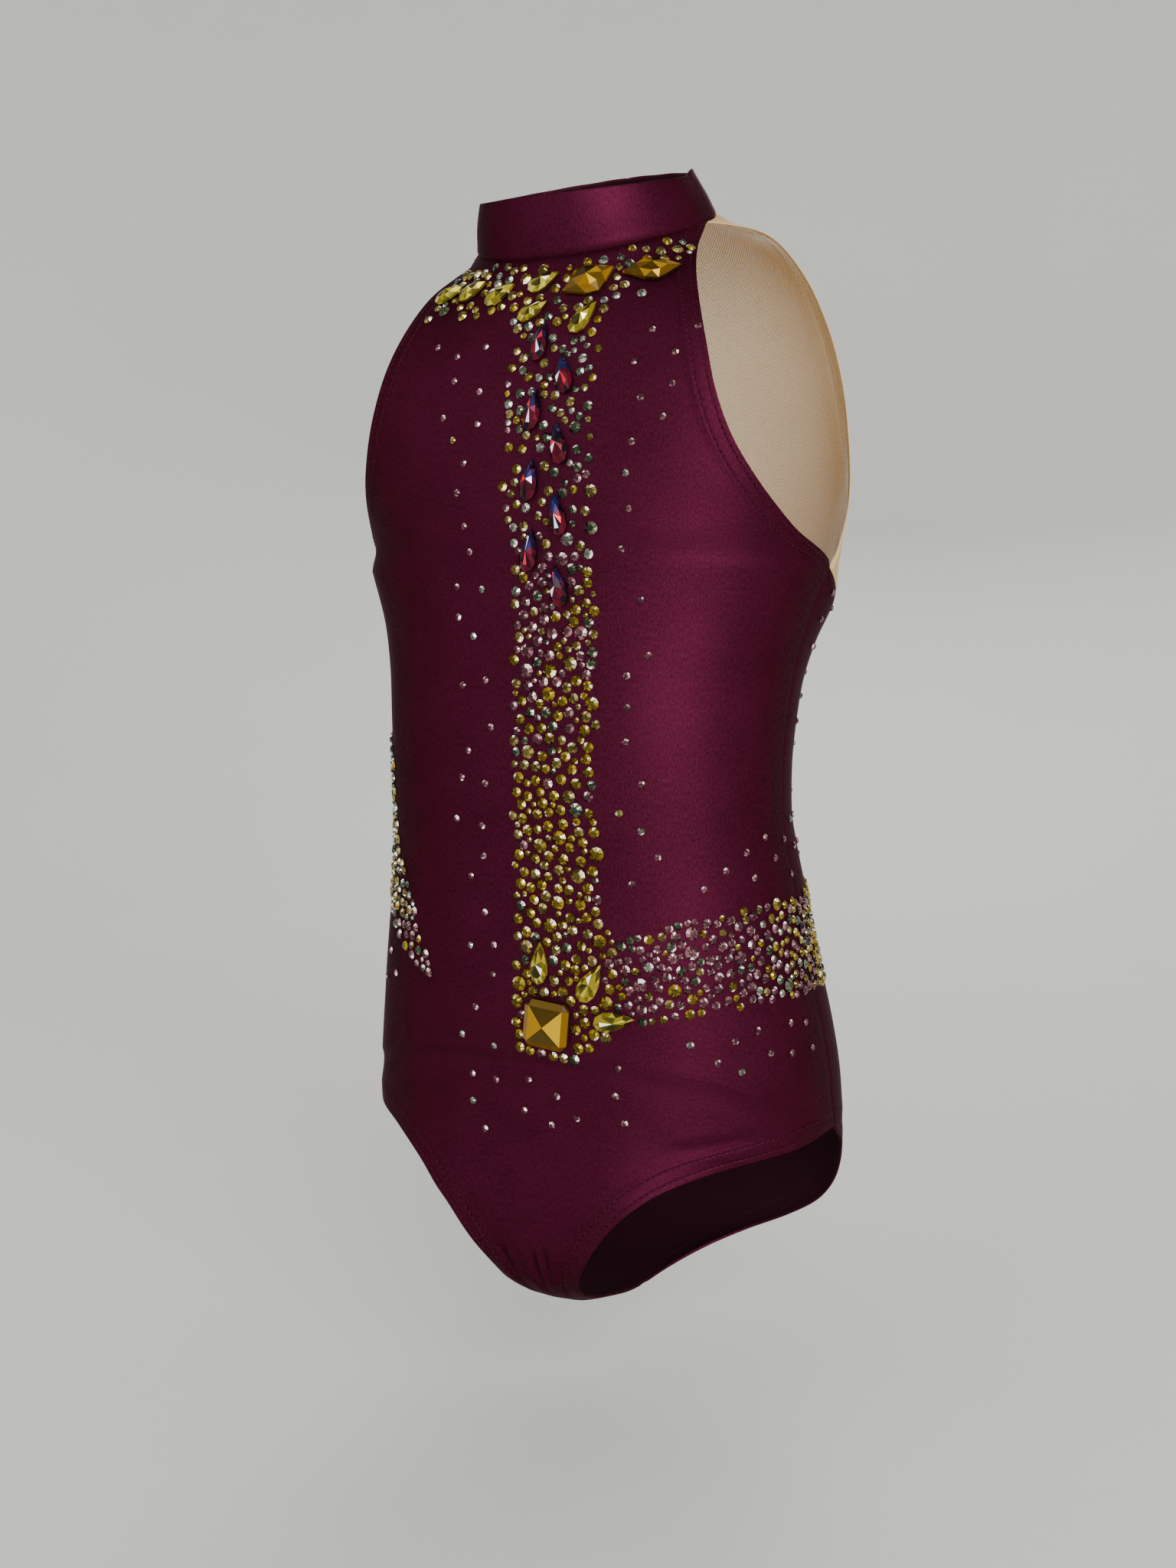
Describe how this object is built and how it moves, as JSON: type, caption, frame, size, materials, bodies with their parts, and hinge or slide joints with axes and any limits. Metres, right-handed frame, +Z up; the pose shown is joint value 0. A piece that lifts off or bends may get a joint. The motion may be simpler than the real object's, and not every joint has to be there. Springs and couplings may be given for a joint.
{
  "type": "rhythmic gymnastics leotard",
  "caption": "Child's sleeveless halter leotard in burgundy stretch cloth with a stand collar, net back yokes and bands of sew-on stones, in its worn shape.",
  "frame": {"origin": "centre of the ring where the stand collar joins the body, where the wearer's neck holds it", "axes": "+Z up along the body, -Y towards the front, +X towards the wearer's left"},
  "size_m": [0.2192, 0.1783, 0.5232],
  "materials": {
    "spandex": "shiny burgundy stretch knit, fine grain, broad satin highlight",
    "net": "matt skin-tone stretch net",
    "citrine": "faceted yellow foil-backed glass",
    "amber": "faceted amber foil-backed glass",
    "garnet": "faceted dark red glass with a blue and violet sheen",
    "steel": "small plain closure bar"
  },
  "bodies": {
    "root": {"front_panel": "spandex", "back_panel": "spandex", "back_yoke_left": "net", "back_yoke_right": "net", "collar": "spandex", "collar_hook": "steel", "gem_drop_collar_1": "citrine", "gem_drop_collar_2": "citrine", "gem_drop_collar_3": "citrine", "gem_drop_collar_4": "citrine", "gem_drop_collar_5": "citrine", "gem_drop_collar_6": "citrine", "gem_marquise_collar_1": "amber", "gem_marquise_collar_2": "amber", "gem_drop_chest_1": "garnet", "gem_drop_chest_2": "garnet", "gem_drop_chest_3": "garnet", "gem_drop_chest_4": "garnet", "gem_drop_chest_5": "garnet", "gem_drop_chest_6": "garnet", "gem_drop_chest_7": "garnet", "gem_drop_chest_8": "garnet", "gem_drop_hip_1": "citrine", "gem_drop_hip_2": "citrine", "gem_drop_hip_3": "citrine", "gem_square_hip_1": "amber"}
  },
  "joints": []
}
